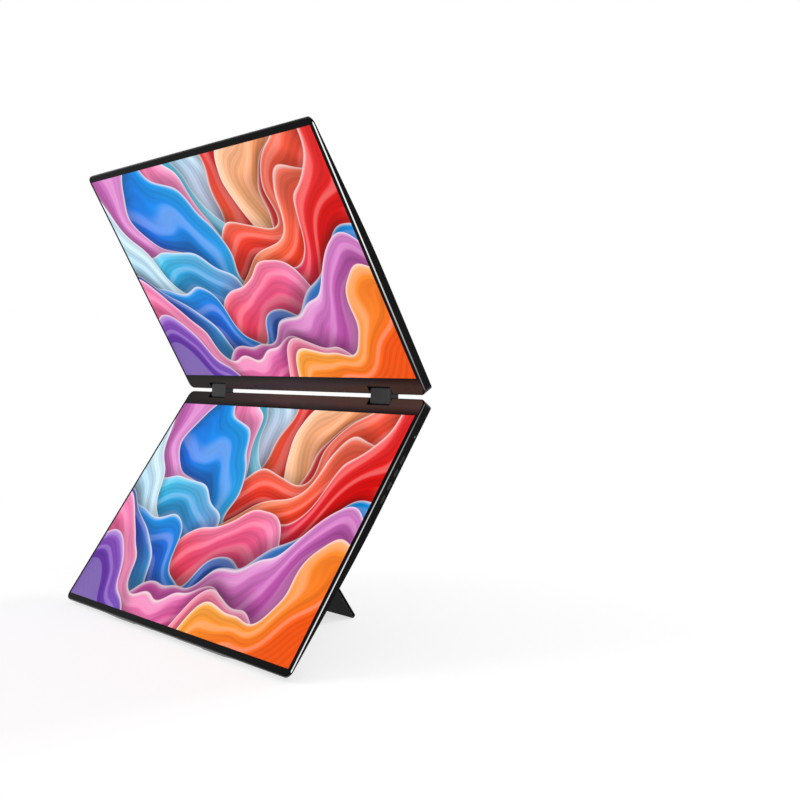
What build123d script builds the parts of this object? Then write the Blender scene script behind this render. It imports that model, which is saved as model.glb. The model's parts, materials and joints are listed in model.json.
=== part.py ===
import os
from math import atan2, cos, pi, radians, sin, sqrt

from build123d import *

os.makedirs("parts", exist_ok=True)

# Driving dimensions, in millimetres and degrees
display_width = 344.7
display_height = 215.4
side_border = 3.7
free_border = 6.1
chin = 15.9
corner_radius = 6.5
opening_angle = 115.0
overrun = 2.0
seat_gap = 0.1
press_gap = 0.02
running_gap = 0.05

# Slab shell: flat over the hinge half, then bending into a taper to the free edge
slab_thickness = 9.6
free_thickness = 3.2
taper_start = 127.0
bend_length = 60.0
bend_shares = (0, 0.25, 0.5, 0.75, 1)
roll_depth = 1.0
hinge_roll = 1.6
middle_roll = 3.0
free_roll = 12.0
hinge_round = 1.8
cover_wall = 1.4
side_wall = 2.4

# Glass, its frame and the display panel behind it
glass_thickness = 0.7
frame_depth = 1.4
frame_ledge = 0.9
rim_width = 1.1
rim_chamfer = 0.7
panel_thickness = 1.4
panel_side = 1.6
panel_chin = 6.0
panel_free = 2.2
panel_corner = 3.0

# Two-shaft hinge
shaft_depth = 5.0
shaft_inset = 1.8
shaft_radius = 1.25
closed_gap = 0.8
block_radius = 4.7
block_length = 26.0
block_margin = 54.05
block_chamfer = 0.8
notch_clearance = 0.4
lip_length = 2.0
sleeve_length = 12.0
sleeve_radius = 2.4
cap_length = 3.0
chamber_radius = 3.0
cap_socket = 1.8
gear_length = 5.0
gear_inset = 1.5
shaft_teeth = 12
idler_teeth = 9
addendum_share = 0.72
dedendum_share = 0.95
tooth_base_share = 0.62
tooth_pitch_share = 0.4
tooth_tip_share = 0.2
idler_pin_radius = 0.55
idler_pin_seat = 1.2

# Hinge brackets and screws
knuckle_length = 4.8
knuckle_wall = 0.45
bracket_reach = 6.0
leaf_length = 26.0
leaf_width = 13.0
leaf_thickness = 1.2
leaf_corner = 2.0
screw_radius = 1.0
screw_head_radius = 1.7
screw_head_height = 0.7
screw_bite = 1.0
screw_margin = 4.0

# Kickstand, its pocket and the thick tongue that holds them
stand_width = 110.0
stand_thickness = 3.6
stand_pivot = 98.6
stand_open = 70.0
stand_corner = 3.0
stand_edge = 0.6
pocket_gap = 0.5
pocket_floor_gap = 0.2
pocket_recess = 0.2
pocket_corner = 2.5
end_gap = 0.6
pin_radius = 0.9
pin_reach = 5.0
pin_grip = 10.0
pin_boss = 8.0
pin_boss_wall = 2.2
scoop_width = 40.0
scoop_length = 12.0
scoop_depth = 1.4
scoop_corner = 8.0
tongue_crest_top = 68.0
tongue_foot_top = 76.0
tongue_crest_end = 72.0
tongue_foot_end = 112.0
tongue_root = 1.0
tongue_sink = 0.1
ground_facet = 0.8

# Sockets in the left wall, centred along the slab from its hinge edge
socket_depth = 5.2
oval_width = 9.2
oval_height = 3.3
oval_places = (28.6, 47.8, 106.6)
video_width = 11.6
video_height = 3.4
video_shoulder = 2.0
video_places = (67.3, 125.8)
socket_length = 7.6
socket_wall = 0.35
socket_recess = 0.2
socket_gap = 0.15
plug_tongue = 0.7
plug_tongue_reach = 5.2

# Buttons and the status light in the right wall
button_places = (53.6, 65.4, 77.0, 88.8)
button_length = 7.4
button_height = 2.4
button_depth = 5.4
button_proud = 0.3
button_travel = 0.4
button_gap = 0.15
flange_margin = 0.7
flange_thickness = 0.7
stem_length = 1.0
stem_radius = 0.8
light_place = 31.6
light_depth = 6.6
light_radius = 0.8

# Circuit boards
board_thickness = 0.8
board_edge_gap = 0.5
board_boss_radius = 2.4
main_board_width = 78.0
main_board_start = 20.0
main_board_end = 133.0
main_row_inset = 18.0
button_board_width = 12.0
button_board_start = 26.0
button_board_end = 97.0
driver_board_width = 120.0
driver_board_start = 52.0
driver_board_end = 78.0
board_screw_margin = 4.0
chip_height = 1.3
chip_size = 16.0
chip_pitch = 30.0
chip_place = 58.0
switch_length = 4.6
switch_body = 3.4
switch_height = 2.0
plunger_length = 0.8
plunger_radius = 0.7

# Plain plate on the upper back
badge_width = 40.0
badge_height = 14.0
badge_place = 41.0
badge_depth = 0.5
badge_corner = 1.2
badge_bevel = 0.2

# Wire slot in the lower hinge wall and a small slot in the lower back
slot_length = 11.0
slot_height = 2.2
slot_margin = 46.5
reset_length = 4.4
reset_width = 1.4
reset_corner = 0.5
reset_across = -30.0
reset_place = 10.0

# Sizes that follow from the ones above
slab_width = display_width + 2 * side_border
slab_height = chin + display_height + free_border
half_width = slab_width / 2
block_centre = half_width - block_margin
slot_place = slot_margin - block_centre
taper_run = slab_height - taper_start
taper_slope = (slab_thickness - free_thickness) / taper_run
bend_start = taper_start - bend_length / 2
panel_back = glass_thickness + panel_thickness + seat_gap
floor_depth = slab_thickness - cover_wall
shaft_spacing = 2 * shaft_depth + closed_gap
notch_width = block_length + 2 * notch_clearance
notch_depth = shaft_inset + block_radius + notch_clearance
pocket_floor = slab_thickness - pocket_recess - stand_thickness - pocket_floor_gap
pivot_depth = slab_thickness - pocket_recess - stand_thickness / 2
pocket_width = stand_width + 2 * pocket_gap
pocket_top = stand_pivot - stand_thickness / 2 - pocket_corner
stand_length = slab_height - end_gap - stand_pivot
board_front = socket_depth + video_height / 2 + press_gap
board_back = board_front + board_thickness
gear_module = shaft_spacing / (shaft_teeth + 2 * idler_teeth)
shaft_gear_radius = gear_module * shaft_teeth / 2
idler_gear_radius = gear_module * idler_teeth / 2

# Standing pose: both slabs lean forward by the same angle about the hinge, then the
# whole part tilts until the bottom edge and the kickstand's foot are level
lean = radians(90 - opening_angle / 2)
swing = radians(stand_open)


def along_slab(start, along, behind):
    """A point of the lower slab in (y, z), before the tilt."""
    y = start[0] - along * sin(lean) + behind * cos(lean)
    z = start[1] - along * cos(lean) - behind * sin(lean)
    return (y, z)


lower_edge = along_slab((0, -shaft_spacing / 2), -shaft_inset, -shaft_depth)
heel = along_slab(lower_edge, slab_height, slab_thickness)
pivot = along_slab(lower_edge, stand_pivot, pivot_depth)
foot_along = stand_length * cos(swing) + stand_thickness / 2 * sin(swing)
foot_behind = stand_length * sin(swing) - stand_thickness / 2 * cos(swing)
foot = along_slab(pivot, foot_along, foot_behind)
rear_along = stand_length * cos(swing) - stand_thickness / 2 * sin(swing)
rear_behind = stand_length * sin(swing) + stand_thickness / 2 * cos(swing)
rear = along_slab(pivot, rear_along, rear_behind)
tilt = atan2(heel[1] - foot[1], heel[0] - foot[0])
if cos(tilt) < 0:
    tilt -= pi if tilt > 0 else -pi


def tilted(point):
    """A (y, z) point after the standing tilt, about the hinge centre."""
    y = point[0] * cos(tilt) + point[1] * sin(tilt)
    z = point[1] * cos(tilt) - point[0] * sin(tilt)
    return (y, z)


lower_lean = lean + tilt
upper_lean = lean - tilt
lower_tip = tilted(along_slab(lower_edge, slab_height, 0))
upper_edge = tilted((lower_edge[0], -lower_edge[1]))
upper_tip_y = upper_edge[0] - slab_height * sin(upper_lean)
front_reach = min(lower_tip[0], upper_tip_y)
rear_reach = tilted(rear)[0]
shift_y = -(front_reach + rear_reach) / 2
shift_z = -tilted(heel)[1] - ground_facet


def standing(point):
    """A (y, z) point of the untilted pose as a point of the standing part."""
    y, z = tilted(point)
    return (0, y + shift_y, z + shift_z)


# Working planes: X across the slab, Y from the hinge edge to the free edge, Z to the back
lower = Plane(
    origin=standing(lower_edge),
    x_dir=(1, 0, 0),
    z_dir=(0, cos(lower_lean), -sin(lower_lean)),
)
upper = Plane(
    origin=standing((lower_edge[0], -lower_edge[1])),
    x_dir=(-1, 0, 0),
    z_dir=(0, cos(upper_lean), sin(upper_lean)),
)
stand_turn = lower_lean - swing
stand_plane = Plane(
    origin=standing(pivot),
    x_dir=(1, 0, 0),
    z_dir=(0, cos(stand_turn), -sin(stand_turn)),
)
hinge_centre = standing((0, 0))
hinge_up = (0, sin(tilt), cos(tilt))


def section(plane, along):
    """Plane across a slab at a distance from its hinge edge, drawn in (across, depth)."""
    origin = plane.from_local_coords((0, along, 0))
    return Plane(origin=origin, x_dir=plane.x_dir, z_dir=-plane.y_dir)


def side(plane, across):
    """Plane along a slab at a distance from its middle, drawn in (along, depth)."""
    origin = plane.from_local_coords((across, 0, 0))
    return Plane(origin=origin, x_dir=plane.y_dir, z_dir=plane.x_dir)


def hinge_plane(across, up):
    """Plane square to the shafts, drawn with X towards the upper shaft."""
    origin = (across, hinge_centre[1] + up * hinge_up[1], hinge_centre[2] + up * hinge_up[2])
    return Plane(origin=origin, x_dir=hinge_up, z_dir=(1, 0, 0))


def depth_at(along):
    """Depth of the back, flat near the hinge and bending softly into the taper."""
    bend = min(max(along - bend_start, 0), bend_length)
    run = max(along - bend_start - bend_length, 0)
    return slab_thickness - taper_slope * (bend**2 / (2 * bend_length) + run)


def roll_at(along):
    """Width of the rolled-off sides, growing towards the free edge."""
    near_share = min(max(along / taper_start, 0), 1)
    far_share = min(max((along - taper_start) / taper_run, 0), 1)
    return hinge_roll + (middle_roll - hinge_roll) * near_share + (free_roll - middle_roll) * far_share


def keep(part, name):
    """Label a finished piece and write it."""
    part.label = name
    export_step(part, f"parts/{name}.step")


def outline(plane, depth, inset):
    """Rounded slab outline with its two hinge notches, drawn in by an inset."""
    with BuildSketch(plane.offset(depth)) as drawn:
        with Locations((0, slab_height / 2)):
            RectangleRounded(slab_width - 2 * inset, slab_height - 2 * inset, corner_radius - inset)
        with Locations((-block_centre, 0), (block_centre, 0)):
            Rectangle(notch_width + 2 * inset, 2 * (notch_depth + inset), mode=Mode.SUBTRACT)
    return drawn.sketch


def shell_section(plane, along):
    """Cross-section of the shell with rolled-off sides, run on past the side walls."""
    top = depth_at(along)
    roll = roll_at(along)
    front = frame_depth - overrun
    arc_radius = (roll**2 + roll_depth**2) / (2 * roll_depth)
    reach = roll + min(overrun, (arc_radius - roll) / 2)
    flat = half_width - roll
    edge = flat + reach
    wall_top = top - arc_radius + sqrt(arc_radius**2 - reach**2)
    with BuildSketch(section(plane, along)) as drawn:
        with BuildLine():
            Polyline((-edge, wall_top), (-edge, front), (edge, front), (edge, wall_top))
            TangentArc((flat, top), (edge, wall_top), tangent=(1, 0))
            Line((flat, top), (-flat, top))
            TangentArc((-flat, top), (-edge, wall_top), tangent=(-1, 0))
        make_face()
    return drawn.sketch


def tongue_section(plane, along):
    """Cross-section of the thick tongue, running out softly into the tapered back."""
    low = depth_at(along) - tongue_sink
    share = (along - bend_start) / (slab_height - bend_start)
    crest = tongue_crest_top + (tongue_crest_end - tongue_crest_top) * share
    foot_width = tongue_foot_top + (tongue_foot_end - tongue_foot_top) * share
    root = low - tongue_root
    with BuildSketch(section(plane, along)) as drawn:
        with BuildLine():
            Polyline((-foot_width, low), (-foot_width, root), (foot_width, root), (foot_width, low))
            Spline((foot_width, low), (crest, slab_thickness), tangents=((-1, 0), (-1, 0)))
            Line((crest, slab_thickness), (-crest, slab_thickness))
            Spline((-crest, slab_thickness), (-foot_width, low), tangents=((-1, 0), (-1, 0)))
        make_face()
    return drawn.sketch


def back_envelope(plane, has_tongue):
    """Solid back half of a slab, before it is hollowed."""
    tapering = [bend_start + share * bend_length for share in bend_shares]
    tapering.append(slab_height + overrun)
    with BuildPart() as solid:
        loft([shell_section(plane, along) for along in [-overrun] + tapering], ruled=True)
        if has_tongue:
            loft([tongue_section(plane, along) for along in tapering], ruled=True)
        extrude(outline(plane, frame_depth, 0), amount=slab_thickness, mode=Mode.INTERSECT)
        with BuildSketch(side(plane, 0)):
            with Locations((hinge_round, slab_thickness - hinge_round)):
                Rectangle(hinge_round + overrun, hinge_round + overrun, align=(Align.MAX, Align.MIN))
                Circle(hinge_round, mode=Mode.SUBTRACT)
        extrude(amount=slab_width, both=True, mode=Mode.SUBTRACT)
    return solid.part


def panel_outline(plane, depth, gap):
    """Outline of the display panel, with a gap round it."""
    width = display_width + 2 * (panel_side + gap)
    height = panel_chin + display_height + panel_free + 2 * gap
    middle = chin - panel_chin + (panel_chin + display_height + panel_free) / 2
    with BuildSketch(plane.offset(depth)) as drawn:
        with Locations((0, middle)):
            RectangleRounded(width, height, panel_corner)
    return drawn.sketch


def bracket_places():
    """Screw places of the right-hand hinge bracket, across and along the slab."""
    left = block_centre - notch_width / 2 - leaf_length
    places = []
    for across in (left + screw_margin, left + leaf_length / 2):
        places.append((across, cover_wall + seat_gap + leaf_width - screw_margin))
    return places


def corner_places(width, start, end, middle, side_margin):
    """Screw places in the four corners of a board."""
    reach = width / 2 - side_margin
    rows = (start + board_screw_margin, end - board_screw_margin)
    return [(middle + sign * reach, row) for row in rows for sign in (-1, 1)]


main_middle = -half_width + side_wall + board_edge_gap + main_board_width / 2
button_room = side_wall + flange_thickness + stem_length + plunger_length
button_middle = half_width - button_room - button_board_width / 2
socket_margin = socket_length + board_screw_margin
main_row_end = main_board_end - main_row_inset
main_screws = corner_places(main_board_width, main_board_start, main_row_end, main_middle, socket_margin)
button_screws = [
    (button_middle - board_screw_margin / 2, button_board_start + board_screw_margin),
    (button_middle - board_screw_margin / 2, button_board_end - board_screw_margin),
]
driver_screws = corner_places(
    driver_board_width, driver_board_start, driver_board_end, 0, board_screw_margin
)


def hollow(plane, bosses, has_pocket):
    """The space inside a back cover, open to the front."""
    end_along = taper_start + (floor_depth - panel_back) / taper_slope
    with BuildPart() as space:
        with BuildSketch(side(plane, 0)):
            with BuildLine():
                Polyline(
                    (cover_wall, frame_depth - overrun),
                    (cover_wall, floor_depth),
                    (taper_start, floor_depth),
                    (end_along, panel_back),
                    (end_along, frame_depth - overrun),
                    close=True,
                )
            make_face()
        extrude(amount=half_width - side_wall, both=True)
        with BuildSketch(plane.offset(frame_depth - overrun)):
            with Locations((-block_centre, 0), (block_centre, 0)):
                Rectangle(notch_width + 2 * cover_wall, 2 * (notch_depth + cover_wall))
        extrude(amount=slab_thickness + overrun, mode=Mode.SUBTRACT)
        with BuildSketch(plane.offset(board_back)):
            with Locations(*bosses):
                Circle(board_boss_radius)
        extrude(amount=slab_thickness, mode=Mode.SUBTRACT)
        if has_pocket:
            with BuildSketch(plane.offset(pocket_floor - cover_wall)):
                with Locations((0, pocket_top - cover_wall)):
                    Rectangle(
                        pocket_width + 2 * cover_wall,
                        slab_height,
                        align=(Align.CENTER, Align.MIN),
                    )
            extrude(amount=slab_thickness, mode=Mode.SUBTRACT)
            with BuildSketch(plane.offset(pivot_depth - pin_radius - pin_boss_wall)):
                with Locations((0, stand_pivot)):
                    Rectangle(pocket_width + 2 * pin_boss, 2 * (pin_radius + pin_boss_wall))
            extrude(amount=slab_thickness, mode=Mode.SUBTRACT)
        extrude(
            panel_outline(plane, frame_depth - overrun, seat_gap),
            amount=panel_back - frame_depth + overrun,
        )
    return space.part


def knuckle_windows(plane):
    """Recesses beside the hinge notches for the bracket knuckles."""
    across = block_centre - notch_width / 2 - knuckle_length / 2
    with BuildSketch(plane.offset(frame_depth)) as drawn:
        with Locations((-across, 0), (across, 0)):
            Rectangle(
                knuckle_length + 2 * seat_gap,
                notch_depth + cover_wall,
                align=(Align.CENTER, Align.MIN),
            )
        for sign in (-1, 1):
            with Locations((sign * (across + knuckle_length / 2), 0)):
                Rectangle(overrun, notch_depth, align=(Align.CENTER, Align.MIN))
    return drawn.sketch


def screw_holes(plane, places):
    """Tapped holes for screws, from the inside of the cover."""
    with BuildSketch(plane.offset(board_front)) as drawn:
        with Locations(*places):
            Circle(screw_radius + press_gap)
    return drawn.sketch


def mirrored(places):
    """Places on both sides of the middle."""
    return places + [(-across, along) for across, along in places]


bracket_screws = mirrored(bracket_places())


# Upper back cover: a plain tapering lid with a shallow seat for the badge plate
with BuildPart() as upper_back_cover:
    add(back_envelope(upper, has_tongue=False))
    add(hollow(upper, driver_screws, has_pocket=False), mode=Mode.SUBTRACT)
    extrude(knuckle_windows(upper), amount=floor_depth - frame_depth, mode=Mode.SUBTRACT)
    upper_holes = screw_holes(upper, bracket_screws + driver_screws)
    extrude(upper_holes, amount=floor_depth + screw_bite - board_front, mode=Mode.SUBTRACT)
    with BuildSketch(upper.offset(slab_thickness - badge_depth)):
        with Locations((0, badge_place)):
            RectangleRounded(badge_width + 2 * seat_gap, badge_height + 2 * seat_gap, badge_corner)
    extrude(amount=badge_depth + overrun, mode=Mode.SUBTRACT)
keep(upper_back_cover.part, "upper_back_cover")


def oval_outline(growth):
    """Oval socket outline, drawn in (along, depth)."""
    for place in oval_places:
        with Locations((place, socket_depth)):
            SlotOverall(oval_width + 2 * growth, oval_height + 2 * growth)


def video_outline(growth):
    """Socket outline with two sloping lower corners, drawn in (along, depth)."""
    half = video_width / 2 + growth
    rise = video_height / 2 + growth
    for place in video_places:
        with Locations((place, socket_depth)):
            Polygon(
                (-half, rise),
                (half, rise),
                (half, rise - video_height / 2),
                (half - video_shoulder, -rise),
                (video_shoulder - half, -rise),
                (-half, rise - video_height / 2),
                align=None,
            )


# Lower back cover: the same shell with the tongue, the kickstand's pocket and the wall openings
with BuildPart() as lower_back_cover:
    add(back_envelope(lower, has_tongue=True))
    add(hollow(lower, main_screws + button_screws, has_pocket=True), mode=Mode.SUBTRACT)
    extrude(knuckle_windows(lower), amount=floor_depth - frame_depth, mode=Mode.SUBTRACT)
    lower_holes = screw_holes(lower, bracket_screws + main_screws + button_screws)
    extrude(lower_holes, amount=floor_depth + screw_bite - board_front, mode=Mode.SUBTRACT)
    with BuildSketch(lower.offset(floor_depth - overrun)):
        with Locations((reset_across, reset_place)):
            RectangleRounded(reset_width, reset_length, reset_corner)
    extrude(amount=cover_wall + 2 * overrun, mode=Mode.SUBTRACT)
    with BuildSketch(lower.offset(pocket_floor)):
        with Locations((0, pocket_top)):
            RectangleRounded(
                pocket_width,
                slab_height,
                pocket_corner,
                align=(Align.CENTER, Align.MIN),
            )
    extrude(amount=slab_thickness, mode=Mode.SUBTRACT)
    with BuildSketch(lower.offset(pocket_floor - scoop_depth)):
        with Locations((0, slab_height)):
            RectangleRounded(scoop_width, 2 * scoop_length, scoop_corner)
    extrude(amount=slab_thickness, mode=Mode.SUBTRACT)
    with BuildSketch(side(lower, 0)):
        with Locations((stand_pivot, pivot_depth)):
            Circle(pin_radius + running_gap)
    extrude(amount=stand_width / 2 + pocket_gap + pin_reach + seat_gap, both=True, mode=Mode.SUBTRACT)
    with BuildSketch(side(lower, -half_width - overrun)):
        oval_outline(socket_gap)
        video_outline(socket_gap)
    extrude(amount=side_wall + 2 * overrun, mode=Mode.SUBTRACT)
    with BuildSketch(side(lower, half_width - side_wall - overrun)):
        for place in button_places:
            with Locations((place, button_depth)):
                SlotOverall(button_length + 2 * button_gap, button_height + 2 * button_gap)
        with Locations((light_place, light_depth)):
            Circle(light_radius + press_gap)
    extrude(amount=side_wall + 2 * overrun, mode=Mode.SUBTRACT)
    with BuildSketch(section(lower, cover_wall + overrun)):
        with Locations((slot_place, shaft_depth)):
            SlotOverall(slot_length, slot_height)
    extrude(amount=cover_wall + 2 * overrun, mode=Mode.SUBTRACT)
    split(bisect_by=Plane.XY, keep=Keep.TOP)
keep(lower_back_cover.part, "lower_back_cover")


def front_frame(plane):
    """Thin bright ring that holds the glass."""
    normal = Axis(plane.origin, plane.z_dir)
    with BuildPart() as frame:
        extrude(outline(plane, 0, 0), amount=frame_depth)
        chamfer(frame.edges().group_by(normal)[0], rim_chamfer)
        extrude(outline(plane, -overrun, rim_width), amount=glass_thickness + overrun, mode=Mode.SUBTRACT)
        inner = outline(plane, -overrun, rim_width + frame_ledge)
        extrude(inner, amount=frame_depth + 2 * overrun, mode=Mode.SUBTRACT)
    return frame.part


def cover_glass(plane):
    """Glass that covers the whole front."""
    with BuildPart() as glass:
        extrude(outline(plane, 0, rim_width + press_gap), amount=glass_thickness)
    return glass.part


def display_panel(plane):
    """Display panel bonded to the back of the glass."""
    with BuildPart() as panel:
        extrude(panel_outline(plane, glass_thickness, 0), amount=panel_thickness)
    return panel.part


def hinge_brackets(plane):
    """Leaf and knuckle that tie each shaft to its slab."""
    inner = block_centre - notch_width / 2
    knuckle_radius = shaft_radius + knuckle_wall
    with BuildPart() as brackets:
        with BuildSketch(plane.offset(floor_depth - leaf_thickness)):
            with Locations((inner - leaf_length, cover_wall + seat_gap)):
                Rectangle(leaf_length - seat_gap, leaf_width, align=(Align.MIN, Align.MIN))
        extrude(amount=leaf_thickness)
        far_corners = brackets.edges().filter_by(Axis(plane.origin, plane.z_dir))
        fillet(far_corners.group_by(Axis(plane.origin, plane.x_dir))[0], leaf_corner)
        with BuildSketch(side(plane, inner - knuckle_length)):
            with Locations((shaft_inset, shaft_depth)):
                Circle(knuckle_radius)
                Rectangle(
                    bracket_reach,
                    2 * knuckle_radius,
                    align=(Align.MIN, Align.CENTER),
                )
                Rectangle(
                    bracket_reach,
                    floor_depth - shaft_depth,
                    align=(Align.MIN, Align.MIN),
                )
        extrude(amount=knuckle_length - seat_gap)
        with BuildSketch(side(plane, inner - leaf_length)):
            with Locations((shaft_inset, shaft_depth)):
                Circle(shaft_radius + press_gap)
        extrude(amount=leaf_length + overrun, mode=Mode.SUBTRACT)
        with BuildSketch(plane.offset(0)):
            with Locations(*bracket_places()):
                Circle(screw_radius + seat_gap)
        extrude(amount=slab_thickness, mode=Mode.SUBTRACT)
        mirror(about=Plane.YZ)
    return brackets.part


def screws(plane, places, head_depth, bite):
    """Pan-head screws, heads towards the front."""
    with BuildPart() as group:
        with BuildSketch(plane.offset(head_depth - screw_head_height)):
            with Locations(*places):
                Circle(screw_head_radius)
        extrude(amount=screw_head_height)
        with BuildSketch(plane.offset(head_depth)):
            with Locations(*places):
                Circle(screw_radius)
        extrude(amount=bite)
    return group.part


def gear(across, up, teeth, first_angle, bore):
    """Small spur gear with stub teeth, square to the shafts."""
    pitch = gear_module * teeth / 2
    tip = pitch + addendum_share * gear_module
    root = pitch - dedendum_share * gear_module
    half_pitch = pi * gear_module / 2
    with BuildPart() as wheel:
        with BuildSketch(hinge_plane(across, up)):
            Circle(root)
            with PolarLocations(0, teeth, start_angle=first_angle):
                Polygon(
                    (root * cos(pi / teeth / 2), -tooth_base_share * half_pitch / 2),
                    (pitch, -tooth_pitch_share * half_pitch),
                    (tip, -tooth_tip_share * half_pitch),
                    (tip, tooth_tip_share * half_pitch),
                    (pitch, tooth_pitch_share * half_pitch),
                    (root * cos(pi / teeth / 2), tooth_base_share * half_pitch / 2),
                    align=None,
                )
            Circle(bore, mode=Mode.SUBTRACT)
        extrude(amount=gear_length)
        mirror(about=Plane.YZ)
    return wheel.part


# Stations along the shafts of the right-hand block, from its inner face outwards
inner_face = block_centre - block_length / 2
chamber_start = inner_face + lip_length + sleeve_length
cap_start = inner_face + block_length - cap_length
gear_start = chamber_start + gear_inset
idler_up = shaft_spacing / 2 - shaft_gear_radius - idler_gear_radius


def hinge_shafts(up):
    """Shaft from the bracket's knuckle to the block's end cap, on both sides."""
    start = block_centre - notch_width / 2 - knuckle_length
    with BuildPart() as shafts:
        with BuildSketch(hinge_plane(start, up)):
            Circle(shaft_radius)
        extrude(amount=cap_start + cap_socket - seat_gap - start)
        mirror(about=Plane.YZ)
    return shafts.part


# Pieces that both slabs share
for name, plane, up, first_angle in (
    ("lower", lower, -shaft_spacing / 2, 0),
    ("upper", upper, shaft_spacing / 2, 180 / shaft_teeth),
):
    keep(front_frame(plane), f"{name}_front_frame")
    keep(cover_glass(plane), f"{name}_cover_glass")
    keep(display_panel(plane), f"{name}_display_panel")
    keep(hinge_brackets(plane), f"{name}_hinge_brackets")
    keep(hinge_shafts(up), f"{name}_hinge_shafts")
    gears = gear(gear_start, up, shaft_teeth, first_angle, shaft_radius + press_gap)
    keep(gears, f"{name}_hinge_gears")
    leaf_face = floor_depth - leaf_thickness
    bracket_bite = leaf_thickness + screw_bite - seat_gap
    keep(screws(plane, bracket_screws, leaf_face, bracket_bite), f"{name}_bracket_screws")
    idler_bore = idler_pin_radius + running_gap
    side_up = idler_up if up > 0 else -idler_up
    keep(gear(gear_start, side_up, idler_teeth, 0, idler_bore), f"{name}_idler_gears")


def hinge_block():
    """Obround housing of the right-hand hinge, open at its outer end."""
    with BuildPart() as block:
        with BuildSketch(hinge_plane(inner_face, 0)):
            SlotCenterToCenter(shaft_spacing, 2 * block_radius)
        extrude(amount=block_length - cap_length)
        chamfer(block.edges().group_by(Axis.X)[0], block_chamfer)
        with BuildSketch(hinge_plane(chamber_start, 0)):
            SlotCenterToCenter(shaft_spacing, 2 * chamber_radius)
        extrude(amount=block_length, mode=Mode.SUBTRACT)
        with BuildSketch(hinge_plane(inner_face + lip_length, 0)):
            with Locations((-shaft_spacing / 2, 0), (shaft_spacing / 2, 0)):
                Circle(sleeve_radius + press_gap)
        extrude(amount=block_length, mode=Mode.SUBTRACT)
        with BuildSketch(hinge_plane(inner_face - overrun, 0)):
            with Locations((-shaft_spacing / 2, 0), (shaft_spacing / 2, 0)):
                Circle(shaft_radius + running_gap)
        extrude(amount=block_length, mode=Mode.SUBTRACT)
        with BuildSketch(hinge_plane(chamber_start - idler_pin_seat, 0)):
            with Locations((-idler_up, 0), (idler_up, 0)):
                Circle(idler_pin_radius + press_gap)
        extrude(amount=block_length, mode=Mode.SUBTRACT)
    return block.part


right_block = hinge_block()
keep(right_block, "right_hinge_block")
keep(mirror(right_block, about=Plane.YZ, mode=Mode.PRIVATE), "left_hinge_block")

# End caps that close the blocks and carry the outer ends of shafts and idler pins
with BuildPart() as hinge_end_caps:
    with BuildSketch(hinge_plane(cap_start, 0)):
        SlotCenterToCenter(shaft_spacing, 2 * block_radius)
    extrude(amount=cap_length)
    chamfer(hinge_end_caps.edges().group_by(Axis.X)[-1], block_chamfer)
    with BuildSketch(hinge_plane(cap_start, 0)):
        with Locations((-shaft_spacing / 2, 0), (shaft_spacing / 2, 0)):
            Circle(shaft_radius + running_gap)
        with Locations((-idler_up, 0), (idler_up, 0)):
            Circle(idler_pin_radius + press_gap)
    extrude(amount=cap_socket, mode=Mode.SUBTRACT)
    mirror(about=Plane.YZ)
keep(hinge_end_caps.part, "hinge_end_caps")

# Friction sleeves that grip the shafts
with BuildPart() as friction_sleeves:
    with BuildSketch(hinge_plane(inner_face + lip_length, 0)):
        with Locations((-shaft_spacing / 2, 0), (shaft_spacing / 2, 0)):
            Circle(sleeve_radius)
            Circle(shaft_radius + running_gap, mode=Mode.SUBTRACT)
    extrude(amount=sleeve_length)
    mirror(about=Plane.YZ)
keep(friction_sleeves.part, "friction_sleeves")

# Pins of the idler gears, between block and cap
with BuildPart() as idler_pins:
    with BuildSketch(hinge_plane(chamber_start - idler_pin_seat, 0)):
        with Locations((-idler_up, 0), (idler_up, 0)):
            Circle(idler_pin_radius)
    extrude(amount=cap_start - chamber_start + 2 * idler_pin_seat)
    mirror(about=Plane.YZ)
keep(idler_pins.part, "idler_pins")

# Badge plate with a fine bevel, left bare
with BuildPart() as badge_plate:
    with BuildSketch(upper.offset(slab_thickness - badge_depth)):
        with Locations((0, badge_place)):
            RectangleRounded(badge_width, badge_height, badge_corner)
    extrude(amount=badge_depth)
    back_axis = Axis(upper.origin, upper.z_dir)
    chamfer(badge_plate.edges().group_by(back_axis)[-1], badge_bevel)
keep(badge_plate.part, "badge_plate")


def board(plane, width, start, end, middle, holes):
    """Circuit board with screw holes."""
    with BuildPart() as card:
        with BuildSketch(plane.offset(board_front)):
            with Locations((middle, (start + end) / 2)):
                Rectangle(width, end - start)
            with Locations(*holes):
                Circle(screw_radius + seat_gap, mode=Mode.SUBTRACT)
        extrude(amount=board_thickness)
    return card.part


def chips(plane, places):
    """Square chips on the front face of a board."""
    with BuildPart() as group:
        with BuildSketch(plane.offset(board_front - chip_height)):
            with Locations(*places):
                Rectangle(chip_size, chip_size)
        extrude(amount=chip_height)
    return group.part


main_board = board(lower, main_board_width, main_board_start, main_board_end, main_middle, main_screws)
keep(main_board, "main_board")
button_board = board(
    lower, button_board_width, button_board_start, button_board_end, button_middle, button_screws
)
keep(button_board, "button_board")
driver_board = board(upper, driver_board_width, driver_board_start, driver_board_end, 0, driver_screws)
keep(driver_board, "driver_board")
chip_across = main_middle + chip_size
keep(
    chips(lower, [(chip_across, chip_place), (chip_across, chip_place + chip_pitch)]),
    "main_board_chips",
)
driver_row = (driver_board_start + driver_board_end) / 2
keep(chips(upper, [(-chip_pitch, driver_row), (chip_pitch, driver_row)]), "driver_board_chips")
board_bite = board_thickness + floor_depth - board_back + screw_bite - seat_gap
keep(screws(lower, main_screws + button_screws, board_front, board_bite), "lower_board_screws")
keep(screws(upper, driver_screws, board_front, board_bite), "upper_board_screws")

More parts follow.
